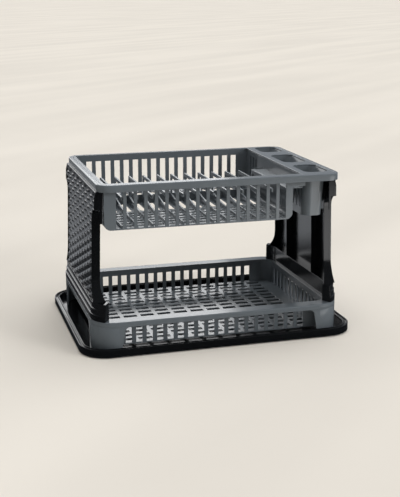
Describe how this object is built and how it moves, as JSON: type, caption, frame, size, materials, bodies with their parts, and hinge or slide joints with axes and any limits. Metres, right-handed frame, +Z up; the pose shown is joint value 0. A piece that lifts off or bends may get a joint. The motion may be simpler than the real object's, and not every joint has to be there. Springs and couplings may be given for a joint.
{
  "type": "two-tier dish rack",
  "caption": "Two-tier dish rack: a drip tray, a slotted lower basket, two side panels and an upper basket with plate fins and three cutlery cups.",
  "frame": {"origin": "on the worktop, under the middle of the lower basket", "axes": "+X along the rack towards the cutlery cups, +Y from front to back, +Z up"},
  "size_m": [0.525, 0.394, 0.309],
  "materials": {
    "grey_plastic": "semi-gloss moulded, slate grey",
    "black_plastic": "gloss moulded, black"
  },
  "bodies": {
    "drip_tray": {"tray_floor": "black_plastic", "tray_rim": "black_plastic"},
    "lower_basket": {"lower_rim": "grey_plastic", "lower_band": "grey_plastic", "lower_floor": "grey_plastic", "lower_corner_walls": "grey_plastic", "lower_front_wall": "grey_plastic", "lower_back_wall": "grey_plastic", "lower_left_wall": "grey_plastic", "lower_right_wall": "grey_plastic", "foot_front_left": "grey_plastic", "foot_front_right": "grey_plastic", "foot_back_left": "grey_plastic", "foot_back_right": "grey_plastic"},
    "left_panel": {"left_panel_skin": "black_plastic", "left_panel_ledge": "black_plastic", "left_panel_head_front": "black_plastic", "left_panel_head_back": "black_plastic", "left_panel_front_flange": "black_plastic", "left_panel_back_flange": "black_plastic", "left_panel_ribs": "black_plastic", "left_panel_foot": "black_plastic", "left_panel_foot_ends": "black_plastic"},
    "right_panel": {"right_panel_skin": "black_plastic", "right_panel_ledge": "black_plastic", "right_panel_head_front": "black_plastic", "right_panel_head_back": "black_plastic", "right_panel_front_flange": "black_plastic", "right_panel_back_flange": "black_plastic", "right_panel_ribs": "black_plastic", "right_panel_foot": "black_plastic", "right_panel_foot_ends": "black_plastic"},
    "upper_basket": {"upper_rim_band": "grey_plastic", "upper_rim_top": "grey_plastic", "cutlery_deck": "grey_plastic", "upper_front_wall": "grey_plastic", "upper_back_wall": "grey_plastic", "upper_left_wall": "grey_plastic", "divider_wall": "grey_plastic", "divider_foot": "grey_plastic", "divider_return": "grey_plastic", "divider_shelf": "grey_plastic", "upper_floor": "grey_plastic", "tub_edges": "grey_plastic", "plate_fins": "grey_plastic", "low_wall": "grey_plastic", "front_cup": "grey_plastic", "middle_cup": "grey_plastic", "back_cup": "grey_plastic"}
  },
  "joints": [
    {"name": "lower_basket_lift", "type": "slide", "parent": "drip_tray", "child": "lower_basket", "axis": [0, 0, 1], "range_m": [0, 0.1]},
    {"name": "upper_basket_lift", "type": "slide", "parent": "lower_basket", "child": "upper_basket", "axis": [0, 0, 1], "range_m": [0, 0.2]},
    {"name": "left_panel_lift", "type": "slide", "parent": "lower_basket", "child": "left_panel", "axis": [0, 0, 1], "range_m": [0, 0.1]},
    {"name": "right_panel_lift", "type": "slide", "parent": "lower_basket", "child": "right_panel", "axis": [0, 0, 1], "range_m": [0, 0.1]}
  ],
  "couplings": [
    {"joint": "left_panel_lift", "follows": "upper_basket_lift", "ratio": 0.5},
    {"joint": "right_panel_lift", "follows": "upper_basket_lift", "ratio": 0.5}
  ]
}
